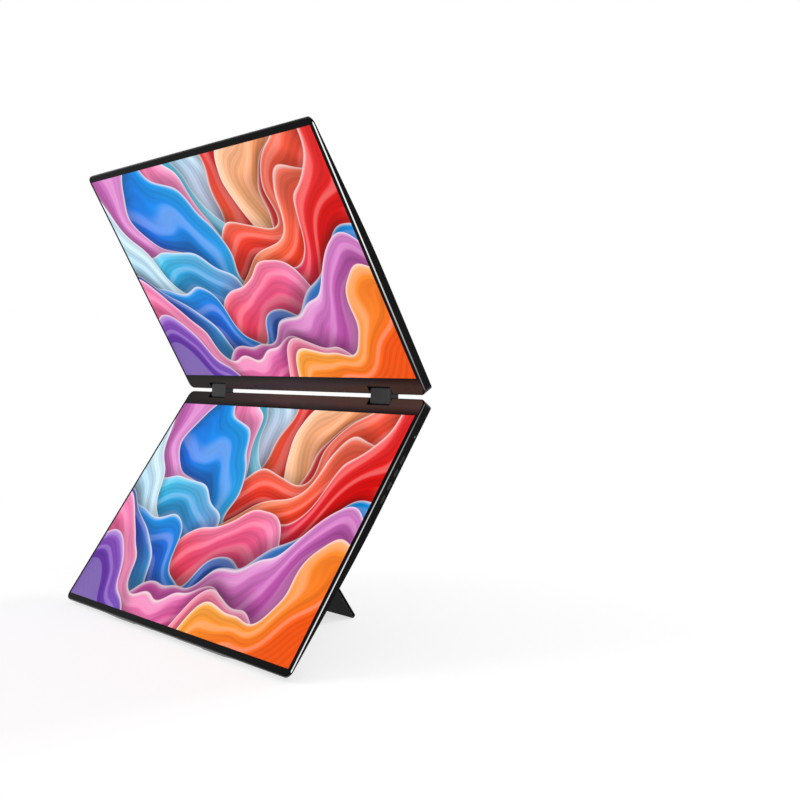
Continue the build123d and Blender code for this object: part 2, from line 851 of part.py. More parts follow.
# Oval power and data sockets with their contact tongues
socket_mouth = -half_width + socket_recess
with BuildPart() as power_data_sockets:
    with BuildSketch(side(lower, socket_mouth)):
        oval_outline(0)
    extrude(amount=socket_length)
    with BuildSketch(side(lower, socket_mouth)):
        oval_outline(-socket_wall)
    extrude(amount=socket_length - socket_wall, mode=Mode.SUBTRACT)
    with BuildSketch(side(lower, socket_mouth + socket_length - socket_wall)):
        for place in oval_places:
            with Locations((place, socket_depth)):
                Rectangle(oval_width - oval_height, plug_tongue)
    extrude(amount=-plug_tongue_reach)
keep(power_data_sockets.part, "power_data_sockets")

# Video sockets with sloping lower corners
with BuildPart() as video_sockets:
    with BuildSketch(side(lower, socket_mouth)):
        video_outline(0)
    extrude(amount=socket_length)
    with BuildSketch(side(lower, socket_mouth)):
        video_outline(-socket_wall)
    extrude(amount=socket_length - socket_wall, mode=Mode.SUBTRACT)
    with BuildSketch(side(lower, socket_mouth + socket_length - socket_wall)):
        for place in video_places:
            with Locations((place, socket_depth)):
                Rectangle(video_width - video_height, plug_tongue)
    extrude(amount=-plug_tongue_reach)
keep(video_sockets.part, "video_sockets")


def button(place):
    """Push button: oblong cap, inner flange and stem."""
    flange_face = half_width - side_wall - seat_gap
    with BuildPart() as cap:
        with BuildSketch(side(lower, flange_face)):
            with Locations((place, button_depth)):
                SlotOverall(button_length, button_height)
        extrude(amount=side_wall + seat_gap + button_proud)
        rim = cap.edges().group_by(Axis.X)[-1]
        fillet(rim, button_proud / 2)
        with BuildSketch(side(lower, flange_face)):
            with Locations((place, button_depth)):
                SlotOverall(button_length + 2 * flange_margin, button_height + flange_margin)
        extrude(amount=-flange_thickness)
        with BuildSketch(side(lower, flange_face - flange_thickness)):
            with Locations((place, button_depth)):
                Circle(stem_radius)
        extrude(amount=-stem_length + 2 * seat_gap)
    return cap.part


for index, place in enumerate(button_places):
    keep(button(place), f"button_{index + 1}")

# Side-push switches behind the buttons
switch_face = half_width - side_wall - flange_thickness - stem_length - button_travel
with BuildPart() as tact_switches:
    for place in button_places:
        with BuildSketch(lower.offset(board_front - switch_height)):
            with Locations((switch_face - plunger_length - switch_body / 2, place)):
                Rectangle(switch_body, switch_length)
        extrude(amount=switch_height)
        with BuildSketch(side(lower, switch_face - plunger_length)):
            with Locations((place, board_front - switch_height / 2)):
                Circle(plunger_radius)
        extrude(amount=plunger_length)
keep(tact_switches.part, "tact_switches")

# Clear status light that leads from the button board through the wall
with BuildPart() as status_light:
    light_foot = button_middle + button_board_width / 2
    with BuildSketch(side(lower, light_foot)):
        with Locations((light_place, light_depth)):
            Circle(light_radius)
    extrude(amount=half_width - light_foot)
keep(status_light.part, "status_light")

# Kickstand plate, rounded about its pivot and cut flat where it stands
with BuildPart() as kickstand:
    with BuildSketch(side(stand_plane, -stand_width / 2)):
        Circle(stand_thickness / 2)
        Rectangle(stand_length, stand_thickness, align=(Align.MIN, Align.CENTER))
    extrude(amount=stand_width)
    plate_axis = Axis(stand_plane.origin, stand_plane.z_dir)
    foot_axis = Axis(stand_plane.origin, stand_plane.y_dir)
    corners = kickstand.edges().filter_by(plate_axis).group_by(foot_axis)[-1]
    fillet(corners, stand_corner)
    back_rim = kickstand.faces().sort_by(plate_axis)[-1].edges().filter_by(foot_axis)
    chamfer(back_rim, stand_edge)
    with BuildSketch(side(stand_plane, 0)):
        Circle(pin_radius + press_gap)
    extrude(amount=stand_width, both=True, mode=Mode.SUBTRACT)
    split(bisect_by=Plane.XY, keep=Keep.TOP)
keep(kickstand.part, "kickstand")

# Pivot pins of the kickstand
with BuildPart() as kickstand_pins:
    with BuildSketch(side(stand_plane, stand_width / 2 - pin_grip)):
        Circle(pin_radius)
    extrude(amount=pin_grip + pocket_gap + pin_reach)
    mirror(about=Plane.YZ)
keep(kickstand_pins.part, "kickstand_pins")
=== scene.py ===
# %% [markdown]
# # A folding monitor with two screens
#
# The real object is two thin slabs on a pair of geared hinges, with a kickstand behind the lower
# one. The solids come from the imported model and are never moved, because the joints depend on their
# places. This lesson dresses them: a camera and a plain studio first, then finishes as node
# materials, then the solids with broken corners, the contacts in the sockets and the lit picture.

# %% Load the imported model
import json
import math

import bmesh
import bpy
from mathutils import Matrix, Vector


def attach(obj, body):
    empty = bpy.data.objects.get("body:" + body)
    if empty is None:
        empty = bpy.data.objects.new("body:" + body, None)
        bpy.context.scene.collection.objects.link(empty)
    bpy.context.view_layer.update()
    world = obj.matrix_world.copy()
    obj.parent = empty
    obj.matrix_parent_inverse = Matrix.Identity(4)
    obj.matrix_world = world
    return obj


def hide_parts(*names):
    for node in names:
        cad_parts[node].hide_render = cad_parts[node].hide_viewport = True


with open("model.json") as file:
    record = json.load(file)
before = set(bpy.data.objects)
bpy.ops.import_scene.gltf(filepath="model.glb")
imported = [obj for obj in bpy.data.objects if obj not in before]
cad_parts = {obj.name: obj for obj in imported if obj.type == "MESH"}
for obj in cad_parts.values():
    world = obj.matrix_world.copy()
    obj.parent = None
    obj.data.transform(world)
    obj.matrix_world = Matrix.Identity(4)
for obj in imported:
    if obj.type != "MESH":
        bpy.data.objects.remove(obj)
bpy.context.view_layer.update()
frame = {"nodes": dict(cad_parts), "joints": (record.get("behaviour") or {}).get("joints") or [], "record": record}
scene = bpy.context.scene
scene.view_settings.view_transform = "Standard"
print("packed nodes:", len(frame["nodes"]))

# %% [markdown]
# ## The two slab planes
#
# Everything on a screen is easier to place in that screen's own plane. The planes could be measured
# from the mesh, but the two hinge axes already give the tilt of the whole part, and the opening
# angle gives how far each slab leans from it. A slab frame has X to the viewer's right, Y up the
# glass and Z out of the glass, with its origin in the middle of the picture.

# %% Slab frames from the hinge axes
MM = 0.001
OPENING = math.radians(115.0)
DISPLAY = (344.7 * MM, 215.4 * MM)
CHIN = 15.9 * MM
SHAFT_DEPTH = 5.0 * MM
SHAFT_INSET = 1.8 * MM

hinges = {joint["name"]: Vector(joint["pos_m"]) for joint in frame["joints"] if "pos_m" in joint}
shaft_line = hinges["upper_hinge"] - hinges["lower_hinge"]
TILT = math.atan2(shaft_line.y, shaft_line.z)
half_lean = (math.pi - OPENING) / 2
LEANS = {"lower": half_lean + TILT, "upper": half_lean - TILT}


def slab_frame(name):
    """Matrix of a screen: X right, Y up, Z out of the glass, origin in the middle of the picture."""
    lean = LEANS[name]
    away = -1 if name == "lower" else 1
    up = Vector((0, -away * math.sin(lean), math.cos(lean)))
    out = Vector((0, -math.cos(lean), -away * math.sin(lean)))
    edge = hinges[f"{name}_hinge"] + SHAFT_DEPTH * out - away * SHAFT_INSET * up
    middle = edge + away * (CHIN + DISPLAY[1] / 2) * up
    turn = Matrix((Vector((1, 0, 0)), up, out)).transposed().to_4x4()
    return Matrix.Translation(middle) @ turn


SLABS = {name: slab_frame(name) for name in LEANS}
print("leans:", {name: round(math.degrees(lean), 2) for name, lean in LEANS.items()})

# %% [markdown]
# ## Camera
#
# The photograph looks at the screens from the right, level with the hinge. Turning a camera by eye
# would never line up both slabs, so its place, focal length and lens shift were solved from the
# corners of the two pictures, in a frame that sits on the hinge and tilts with the part. The image
# is square, and a shift is a share of its width.

# %% Camera at the photograph's view
LENS = 48.93
LENS_SHIFT = (0.024, -0.085)
CAMERA_PLACE = Vector((800.6, -602.8, -0.2)) * MM
CAMERA_RIGHT = Vector((0.6628, 0.7480, 0.0351))
CAMERA_LOOK = Vector((-0.7485, 0.6605, 0.0588))
GLASS_LINE = 2.49 * MM

hinge_middle = (hinges["lower_hinge"] + hinges["upper_hinge"]) / 2
hinge_turn = Matrix.Rotation(-TILT, 4, "X")
hinge_frame = Matrix.Translation(hinge_middle) @ hinge_turn @ Matrix.Translation((0, -GLASS_LINE, 0))
look = CAMERA_LOOK.normalized()
right = (CAMERA_RIGHT - CAMERA_RIGHT.dot(look) * look).normalized()
aim = Matrix((right, right.cross(look), -look)).transposed().to_4x4()
camera_data = bpy.data.cameras.new("camera")
camera_data.lens = LENS
camera_data.shift_x, camera_data.shift_y = LENS_SHIFT
camera = bpy.data.objects.new("camera", camera_data)
camera.matrix_world = hinge_frame @ Matrix.Translation(CAMERA_PLACE) @ aim
scene.collection.objects.link(camera)
scene.camera = camera
print("camera at", [round(value, 3) for value in camera.matrix_world.translation])

# %% [markdown]
# ## Node helpers
#
# A material is a small graph of nodes. It could be wired by hand in the Shader Editor, but a script
# gives the same graph each time. Four helpers keep the script readable: one adds a node and fills
# its inputs, and the others add one sum, one step between two values, or one mix. An input that is
# given a socket is linked, and one that is given a number is set.


# %% Node helpers
def put(tree, kind, inputs=None, **settings):
    """Add a node, set its properties, then set or link its inputs."""
    made = tree.nodes.new(kind)
    for key, value in settings.items():
        setattr(made, key, value)
    for key, value in (inputs or {}).items():
        if isinstance(value, bpy.types.NodeSocket):
            tree.links.new(value, made.inputs[key])
        else:
            made.inputs[key].default_value = value
    return made


def calc(tree, operation, first, second=0.0, third=0.0, clamp=False):
    """One Math node, as its output socket."""
    values = {0: first, 1: second, 2: third}
    return put(tree, "ShaderNodeMath", values, operation=operation, use_clamp=clamp).outputs[0]


def step(tree, value, low, high, start=0.0, end=1.0, kind="LINEAR"):
    """One Map Range node, which holds its value at both ends, as its output socket."""
    values = {0: value, 1: low, 2: high, 3: start, 4: end}
    return put(tree, "ShaderNodeMapRange", values, interpolation_type=kind).outputs[0]


def blend_number(tree, factor, first, second):
    """One number Mix node, as its output socket."""
    return put(tree, "ShaderNodeMix", {0: factor, 2: first, 3: second}, data_type="FLOAT").outputs[0]


# %% [markdown]
# ## Floor
#
# The product stands on a pale floor. A plain white plane would clip to white or turn grey, and
# would lose the shadow. So near the part the floor is partly diffuse, to hold the shadow, and
# partly lit from within for rays from the camera, from shiny surfaces and through glass. Further
# out it is all glow, so that floor and room meet without a line.

# %% Floor
FLOOR_SIZE = 12.0
FLOOR_NEAR, FLOOR_FAR = 0.35, 0.95
FLOOR_DIFFUSE = 0.42
FLOOR_GLOW = 0.68
ROOM_LIGHT = 0.45


def grey(value):
    """An opaque grey colour."""
    return (value, value, value, 1.0)


def seen_directly(tree):
    """One for rays from the camera, from shiny surfaces and through glass."""
    ray = tree.nodes.new("ShaderNodeLightPath").outputs
    shiny = calc(tree, "ADD", ray["Is Camera Ray"], ray["Is Glossy Ray"], clamp=True)
    return calc(tree, "ADD", shiny, ray["Is Transmission Ray"], clamp=True)


floor_mesh = bpy.data.meshes.new("floor")
corners = [(x * FLOOR_SIZE / 2, y * FLOOR_SIZE / 2, 0) for x, y in ((-1, -1), (1, -1), (1, 1), (-1, 1))]
floor_mesh.from_pydata(corners, [], [(0, 1, 2, 3)])
floor = bpy.data.objects.new("floor", floor_mesh)
scene.collection.objects.link(floor)
floor_paint = bpy.data.materials.new("floor")
floor_paint.use_nodes = True
floor_mesh.materials.append(floor_paint)

tree = floor_paint.node_tree
tree.nodes.clear()
floor_place = put(tree, "ShaderNodeTexCoord").outputs["Object"]
reach = put(tree, "ShaderNodeVectorMath", {0: floor_place}, operation="LENGTH").outputs["Value"]
far = step(tree, reach, FLOOR_NEAR, FLOOR_FAR, kind="SMOOTHSTEP")
matt = put(tree, "ShaderNodeBsdfDiffuse", {"Color": grey(FLOOR_DIFFUSE)}).outputs[0]
near_level = calc(tree, "MULTIPLY", seen_directly(tree), FLOOR_GLOW)
near_glow = put(tree, "ShaderNodeEmission", {"Strength": near_level}).outputs[0]
near_floor = put(tree, "ShaderNodeAddShader", {0: matt, 1: near_glow}).outputs[0]
far_level = blend_number(tree, seen_directly(tree), ROOM_LIGHT, 1.0)
far_floor = put(tree, "ShaderNodeEmission", {"Strength": far_level}).outputs[0]
whole_floor = put(tree, "ShaderNodeMixShader", {0: far, 1: near_floor, 2: far_floor}).outputs[0]
put(tree, "ShaderNodeOutputMaterial", {"Surface": whole_floor})
print("floor side, in metres:", FLOOR_SIZE)

# %% [markdown]
# ## Room
#
# Black satin shows little but what it reflects, and a world that is white all over would wash the
# shells grey. So the room has white walls and a darker ceiling: the ceiling keeps the shells deep,
# and the walls draw a line along their edges. In a world, the Generated coordinate is the way that
# a ray goes, and its Z says how steeply the ray climbs.

# %% Room
WALL_TOP, CEILING_EDGE = 0.40, 0.62
CEILING_LIGHT = 0.25

room = bpy.data.worlds.new("white_room")
scene.world = room
room.use_nodes = True
tree = room.node_tree
tree.nodes.clear()
ray_way = put(tree, "ShaderNodeTexCoord").outputs["Generated"]
climb = put(tree, "ShaderNodeSeparateXYZ", {0: ray_way}).outputs[2]
seen_level = step(tree, climb, WALL_TOP, CEILING_EDGE, 1.0, CEILING_LIGHT, "SMOOTHSTEP")
room_level = blend_number(tree, seen_directly(tree), ROOM_LIGHT, seen_level)
sky = put(tree, "ShaderNodeBackground", {"Color": grey(1.0), "Strength": room_level}).outputs[0]
put(tree, "ShaderNodeOutputWorld", {"Surface": sky})
print("room: white walls, ceiling at", CEILING_LIGHT)

# %% [markdown]
# ## Lamps
#
# Three square lamps light the part at a plain level. The key lamp stands in front on the left, the
# side lamp lays a band of light on the upper back, and the back lamp picks out the hinge. Point or
# spot lamps would leave hard dots on the satin metal, so these are area lamps, which reflect as a
# studio's soft boxes do.

# %% Lamps
LAMPS = {
    # place, side and power
    "key_lamp": ((-0.9, -1.3, 1.5), 0.9, 10.0),
    "side_lamp": ((1.45, 0.1, 1.7), 0.8, 5.5),
    "back_lamp": ((0.19, 1.08, 1.69), 0.35, 8.0),
}

for name, (place, side, power) in LAMPS.items():
    data = bpy.data.lights.new(name, "AREA")
    data.shape = "SQUARE"
    data.size = side
    data.energy = power
    lamp = bpy.data.objects.new(name, data)
    lamp.location = place
    lamp.rotation_mode = "QUATERNION"
    lamp.rotation_quaternion = (hinge_middle - Vector(place)).to_track_quat("-Z", "Y")
    scene.collection.objects.link(lamp)
print("lamps:", ", ".join(LAMPS))

# %% [markdown]
# ## Grain
#
# Blasted metal and moulded plastic have the same two faults: a fine grain that breaks up
# highlights, and slow patches where hands or tools have changed the sheen. Each material could hold
# its own noise. One group keeps them alike, and each material places it with its own scales. It
# puts out a height for bump and a patch value from zero to one. Machined metal has fine lines along
# one direction instead, so a second group stretches its fine noise along X.

# %% Grain groups
NUMBER, COLOUR, VECTOR = "NodeSocketFloat", "NodeSocketColor", "NodeSocketVector"
PATCH_DETAIL = 3.0


def shader_group(name, inputs, outputs):
    """An empty shader group with its sockets, and its two ends."""
    tree = bpy.data.node_groups.new(name, "ShaderNodeTree")
    for label, kind in inputs:
        tree.interface.new_socket(label, in_out="INPUT", socket_type=kind)
    for label, kind in outputs:
        tree.interface.new_socket(label, in_out="OUTPUT", socket_type=kind)
    return tree, tree.nodes.new("NodeGroupInput").outputs, tree.nodes.new("NodeGroupOutput").inputs


def noise(tree, place, scale, detail):
    """One Noise Texture node."""
    return put(tree, "ShaderNodeTexNoise", {"Vector": place, "Scale": scale, "Detail": detail}).outputs


def grain_group(name, stretch, detail):
    """A group of fine noise for bump and slow noise for patches."""
    scales = [("Grain Scale", NUMBER), ("Patch Scale", NUMBER)]
    tree, taken, given = shader_group(name, scales, [("Height", NUMBER), ("Patch", NUMBER)])
    place = put(tree, "ShaderNodeTexCoord").outputs["Object"]
    stretched = put(tree, "ShaderNodeMapping", {"Vector": place, "Scale": stretch}).outputs[0]
    tree.links.new(noise(tree, stretched, taken[0], detail)[0], given[0])
    tree.links.new(noise(tree, place, taken[1], PATCH_DETAIL)[0], given[1])
    return tree


grain_tree = grain_group("surface_grain", (1.0, 1.0, 1.0), 2.0)
brushed_tree = grain_group("brushed_lines", (0.02, 1.0, 1.0), 1.0)
print("grain groups:", grain_tree.name, brushed_tree.name)

# %% [markdown]
# ## Worn edges and painted highlights
#
# Hands and cleaning rub a dark coat thin along sharp edges, and sharp edges catch the light. Both
# are painted as one lighter band along the edges: partly wear, partly painted highlight. Painting
# that by hand would take a map for each piece. The Bevel node averages the normal over a small
# radius, so where its answer turns away from the plain normal there is an edge. The group puts out
# that mask, broken up a little by noise, and the rounded normal.

# %% Edge wear and painted highlight group
EDGE_AGREEMENT = (0.995, 0.90)
EDGE_SAMPLES = 6
RUB_SCALE, RUB_DETAIL = 90.0, 2.0
RUB_NOISE = (0.3, 0.6)
RUB_LEAST = 0.6


def dot(tree, first, second):
    """How far two directions agree, as an output socket."""
    made = put(tree, "ShaderNodeVectorMath", {0: first, 1: second}, operation="DOT_PRODUCT")
    return made.outputs["Value"]


wear_and_highlight_tree, taken, given = shader_group(
    "edge_wear_and_highlight", [("Radius", NUMBER)], [("Mask", NUMBER), ("Normal", VECTOR)]
)
rounded = put(wear_and_highlight_tree, "ShaderNodeBevel", {"Radius": taken[0]}, samples=EDGE_SAMPLES).outputs[0]
plain = put(wear_and_highlight_tree, "ShaderNodeNewGeometry").outputs["Normal"]
turned = step(wear_and_highlight_tree, dot(wear_and_highlight_tree, rounded, plain), *EDGE_AGREEMENT)
place = put(wear_and_highlight_tree, "ShaderNodeTexCoord").outputs["Object"]
rubbed = step(wear_and_highlight_tree, noise(wear_and_highlight_tree, place, RUB_SCALE, RUB_DETAIL)[0], *RUB_NOISE, RUB_LEAST, 1.0)
# The mask marks worn edges and a painted highlight alike: a lighter band along every sharp edge.
wear_and_highlight_tree.links.new(calc(wear_and_highlight_tree, "MULTIPLY", turned, rubbed), given[0])
wear_and_highlight_tree.links.new(rounded, given[1])
print("wear group:", wear_and_highlight_tree.name)

# %% [markdown]
# ## A finish in one call
#
# Every finish is a Principled shader whose colour and roughness drift a little between two values,
# because a real surface is never quite even. The grain comes as its scale, the scale of the patches
# and the strength of the bump. Where a finish has an edge, given as a radius and a grey, that grey
# shows along its edges as wear and painted highlight, and the rounded normal softens them. What
# stays the same all over is set straight on the shader.

# %% Finish helper
PATCH_SPAN = (0.3, 0.7)
BUMP_DISTANCE = 0.2 * MM


def blend_colour(tree, factor, first, second, kind="MIX"):
    """One colour Mix node, as its output socket."""
    values = {0: factor, 6: first, 7: second}
    return put(tree, "ShaderNodeMix", values, data_type="RGBA", blend_type=kind).outputs[2]


def finish(name, colours, roughness, grain, edge=None, lines=False, **sockets):
    """A material with drifting colour and roughness, grain as bump, worn edges and painted highlights."""
    paint = bpy.data.materials.new(name)
    paint.use_nodes = True
    tree = paint.node_tree
    shader = tree.nodes["Principled BSDF"]
    grain_scale, patch_scale, strength = grain
    scales = {"Grain Scale": grain_scale, "Patch Scale": patch_scale}
    shared = put(tree, "ShaderNodeGroup", scales, node_tree=brushed_tree if lines else grain_tree)
    drift = step(tree, shared.outputs["Patch"], *PATCH_SPAN)
    colour = blend_colour(tree, drift, *colours)
    tree.links.new(step(tree, drift, 0.0, 1.0, *roughness), shader.inputs["Roughness"])
    relief = {"Height": shared.outputs["Height"], "Strength": strength, "Distance": BUMP_DISTANCE}
    bump = put(tree, "ShaderNodeBump", relief)
    for label, value in sockets.items():
        shader.inputs[label.replace("_", " ")].default_value = value
    if edge:
        # The edge band is part wear and part painted highlight: a lighter, more metallic grey on sharp edges.
        radius, wear_and_highlight_grey = edge
        wear_and_highlight = put(tree, "ShaderNodeGroup", {"Radius": radius}, node_tree=wear_and_highlight_tree)
        colour = blend_colour(tree, wear_and_highlight.outputs["Mask"], colour, grey(wear_and_highlight_grey))
        edge_metallic = calc(tree, "MAXIMUM", wear_and_highlight.outputs["Mask"], shader.inputs["Metallic"].default_value)
        tree.links.new(edge_metallic, shader.inputs["Metallic"])
        tree.links.new(wear_and_highlight.outputs["Normal"], bump.inputs["Normal"])
    tree.links.new(colour, shader.inputs["Base Color"])
    tree.links.new(bump.outputs[0], shader.inputs["Normal"])
    return paint


# %% [markdown]
# ## Finishes
#
# The shells are satin black metal, almost black where they face the viewer. The kickstand is more
# matt, the hinge blocks are a lighter grey metal with fine lines, and the frame round the glass is
# cut bright. Inside are steel, board lacquer and chip resin. One table by material slot keeps them
# together, so that every solid can look up its own.

# %% Finishes by material slot
# An edge is a radius and the grey of a band of wear and painted highlight along sharp edges.
FINISHES = {
    "cover_metal": finish(
        "satin_black_metal", (grey(0.0015), grey(0.003)), roughness=(0.24, 0.30), grain=(9000, 14, 0.06),
        edge=(0.3 * MM, 0.07), Specular_IOR_Level=0.075,
    ),
    # The kickstand's near white edge band is mostly painted highlight.
    "stand_metal": finish(
        "matt_black_metal", (grey(0.0015), grey(0.003)), roughness=(0.30, 0.38), grain=(8000, 20, 0.10),
        edge=(0.8 * MM, 0.90), Specular_IOR_Level=0.025,
    ),
    "hinge_metal": finish(
        "grey_hinge_metal", (grey(0.022), grey(0.032)), roughness=(0.30, 0.38), grain=(3000, 40, 0.10),
        edge=(0.35 * MM, 0.35), lines=True, Metallic=0.7,
    ),
    "bright_rim": finish(
        "cut_rim", (grey(0.93), grey(0.97)), roughness=(0.14, 0.20), grain=(9000, 30, 0.02),
        Metallic=1.0,
    ),
    "badge": finish(
        "gloss_black_plate", (grey(0.010), grey(0.014)), roughness=(0.10, 0.16), grain=(9000, 40, 0.02),
        Metallic=1.0,
    ),
    "socket_metal": finish(
        "bright_socket_metal", (grey(0.86), grey(0.92)), roughness=(0.50, 0.60), grain=(9000, 60, 0.04),
        Metallic=1.0,
    ),
    "button_plastic": finish(
        "black_button_plastic", (grey(0.008), grey(0.014)), roughness=(0.4, 0.5), grain=(9000, 60, 0.15),
        Specular_IOR_Level=0.3,
    ),
    "light_pipe": finish(
        "clear_light_pipe", (grey(0.16), grey(0.20)), roughness=(0.15, 0.25), grain=(5000, 60, 0.02),
    ),
    "display": finish(
        "panel_tray", (grey(0.03), grey(0.05)), roughness=(0.3, 0.4), grain=(4000, 30, 0.05),
    ),
    "steel": finish(
        "turned_steel", (grey(0.45), grey(0.55)), roughness=(0.25, 0.35), grain=(3000, 60, 0.08),
        lines=True, Metallic=1.0,
    ),
    "board": finish(
        "board_lacquer", ((0.01, 0.05, 0.03, 1), (0.015, 0.07, 0.04, 1)), roughness=(0.35, 0.45),
        grain=(3000, 60, 0.1),
    ),
    "chip": finish(
        "chip_resin", (grey(0.012), grey(0.02)), roughness=(0.5, 0.6), grain=(7000, 80, 0.2),
    ),
}
print("finishes:", len(FINISHES))

# %% [markdown]
# ## Painted highlights on the covers
#
# On the real covers two rounds catch the light: the one between the back and the hinge wall, and
# the soft roll along both sides. That light is painted here: a lighter metallic grey on both rounds,
# a painted highlight that stays in place under any lamp. They could be picked as faces, but the
# covers stay as they were packed. Their normals in object space find both rounds instead: the first
# faces halfway between the back and the wall, and the second turns a little sideways near the sides
# of the slab.

# %% Painted highlights on the covers
HINGE_ROUND = (0.86, 0.97)
ROLL_FACING = (0.02, 0.30)
WALL_FACING = (0.9, 0.6)
SIDE_BAND = (160 * MM, 166 * MM)
ROLL_HIGHLIGHT_SHARE = 0.35
PAINTED_HIGHLIGHT_GREY = grey(0.32)


def split(tree, vector):
    """The three parts of a vector, as output sockets."""
    return put(tree, "ShaderNodeSeparateXYZ", {0: vector}).outputs


def paint_over(slot, mask, colour):
    """Lay a colour over a finish where a mask says so."""
    tree = FINISHES[slot].node_tree
    base = tree.nodes["Principled BSDF"].inputs["Base Color"]
    tree.links.new(blend_colour(tree, mask, base.links[0].from_socket, colour), base)


tree = FINISHES["cover_metal"].node_tree
coords = put(tree, "ShaderNodeTexCoord").outputs
ends = {0: coords["Object"], 1: hinge_middle}
from_hinge = put(tree, "ShaderNodeVectorMath", ends, operation="SUBTRACT").outputs[0]
on_upper = calc(tree, "GREATER_THAN", dot(tree, from_hinge, shaft_line), 0.0)
rounds = []
for name, hinge_side in (("lower", 1), ("upper", -1)):
    up, out = (SLABS[name].col[axis].to_3d() for axis in (1, 2))
    facing = dot(tree, coords["Normal"], (hinge_side * up - out).normalized())
    rounds.append(step(tree, facing, *HINGE_ROUND))
hinge_highlight = blend_number(tree, on_upper, *rounds)
sideways = calc(tree, "ABSOLUTE", split(tree, coords["Normal"])[0])
outward = calc(tree, "ABSOLUTE", split(tree, coords["Object"])[0])
roll_highlight = calc(tree, "MULTIPLY", step(tree, sideways, *ROLL_FACING), step(tree, sideways, *WALL_FACING))
roll_highlight = calc(tree, "MULTIPLY", roll_highlight, step(tree, outward, *SIDE_BAND))
painted_highlight = calc(tree, "MAXIMUM", hinge_highlight, calc(tree, "MULTIPLY", roll_highlight, ROLL_HIGHLIGHT_SHARE))
# Painted highlight: lighter grey and more metallic on the hinge rounds and the side rolls.
paint_over("cover_metal", painted_highlight, PAINTED_HIGHLIGHT_GREY)
metallic = tree.nodes["Principled BSDF"].inputs["Metallic"]
tree.links.new(calc(tree, "MAXIMUM", metallic.links[0].from_socket, painted_highlight), metallic)
print("polished on the covers: hinge rounds and side rolls")

# %% [markdown]
# ## Bright sides of the frames
#
# The frame round each glass is bright along its two sides and near black elsewhere. Towards the
# hinge it grows dull, as painted shade. Two materials would meet in a hard line, so one material is
# darkened by place: first with the distance from the hinge, then everywhere but at the sides.

# %% Bright sides of the frames
RIM_EDGE = (175.65 * MM, 175.8 * MM)
RIM_FADE = (10 * MM, 150 * MM)
RIM_HINGE_SHADE = grey(0.14)
RIM_DARK = grey(0.006)

tree = FINISHES["bright_rim"].node_tree
axes = split(tree, put(tree, "ShaderNodeTexCoord").outputs["Object"])
off_hinge = put(tree, "ShaderNodeCombineXYZ", {
    1: calc(tree, "SUBTRACT", axes[1], hinge_middle.y),
    2: calc(tree, "SUBTRACT", axes[2], hinge_middle.z),
}).outputs[0]
hinge_reach = put(tree, "ShaderNodeVectorMath", {0: off_hinge}, operation="LENGTH").outputs["Value"]
# Painted shade: the rim's colour dulls towards the hinge.
paint_over("bright_rim", step(tree, hinge_reach, *RIM_FADE, 1.0, 0.0), RIM_HINGE_SHADE)
rim_reach = calc(tree, "ABSOLUTE", axes[0])
# Near black everywhere but along the two sides.
paint_over("bright_rim", step(tree, rim_reach, *RIM_EDGE, 1.0, 0.0), RIM_DARK)
print("bright from", round(RIM_EDGE[0] / MM, 2), "mm off the middle")

# %% [markdown]
# ## Line round the plate
#
# The small plate on the upper back is bare gloss black with a thin bright line along its edge. The
# line could be a piece of its own, but it is under a millimetre wide and flush, so it is drawn. A
# Mapping node moves the coordinates into the middle of the plate, where the line is all that lies
# far enough out.

# %% Line round the plate
BADGE = (40 * MM, 14 * MM)
BADGE_PLACE = 41 * MM
BADGE_LINE = 0.7 * MM
LINE_GREY = grey(0.6)


def local_place(tree, base):
    """Object coordinates measured from a base matrix, as an output socket."""
    place = put(tree, "ShaderNodeTexCoord").outputs["Object"]
    back = base.inverted()
    moves = {"Vector": place, "Location": back.translation, "Rotation": back.to_euler()}
    return put(tree, "ShaderNodeMapping", moves).outputs[0]


tree = FINISHES["badge"].node_tree
badge_base = SLABS["upper"] @ Matrix.Translation((0, BADGE_PLACE - CHIN - DISPLAY[1] / 2, 0))
axes = split(tree, local_place(tree, badge_base))
edges = []
for axis, length in enumerate(BADGE):
    offset = calc(tree, "ABSOLUTE", axes[axis])
    edges.append(calc(tree, "GREATER_THAN", offset, length / 2 - BADGE_LINE))
paint_over("badge", calc(tree, "MAXIMUM", *edges), LINE_GREY)
print("plate line, in mm:", round(BADGE_LINE / MM, 2))

# %% [markdown]
# ## Mouths of the sockets
#
# A socket is a bright shell that sits back in the wall. Its inside gleams, while the ring of its
# mouth and the end of its tongue stay dark. A second material would need those faces picked by
# hand. They face straight out of the wall and the inside doesn't, so the normal tells them apart.

# %% Mouths of the sockets
MOUTH_FACING = 0.9
MOUTH_DARK = grey(0.04)

tree = FINISHES["socket_metal"].node_tree
facing = calc(tree, "ABSOLUTE", split(tree, put(tree, "ShaderNodeTexCoord").outputs["Normal"])[0])
paint_over("socket_metal", calc(tree, "GREATER_THAN", facing, MOUTH_FACING), MOUTH_DARK)
print("socket mouths darkened")

# %% [markdown]
# ## Dressed solids
#
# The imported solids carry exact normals, so most of them only need a material. On the frames, hinge
# blocks, kickstand and plate the sharp edges show, and real ones are slightly broken. Their packed
# meshes mustn't change, so they are copied, and each copy stands for its solid. A Bevel modifier
# takes only the outer corners of real edges, and Weighted Normal keeps the flats flat next to it.

# %% Dress one solid
BODIES = frame["record"]["behaviour"]["bodies"]
BODY_OF = {node: body for body, nodes in BODIES.items() for node in nodes}
SLOT_OF = {entry["node"]: entry["material_slot"] for entry in frame["record"]["subparts"]}
SHARP_ANGLE = math.radians(30)
WELD = 0.002 * MM
CORNER_STEPS = 2


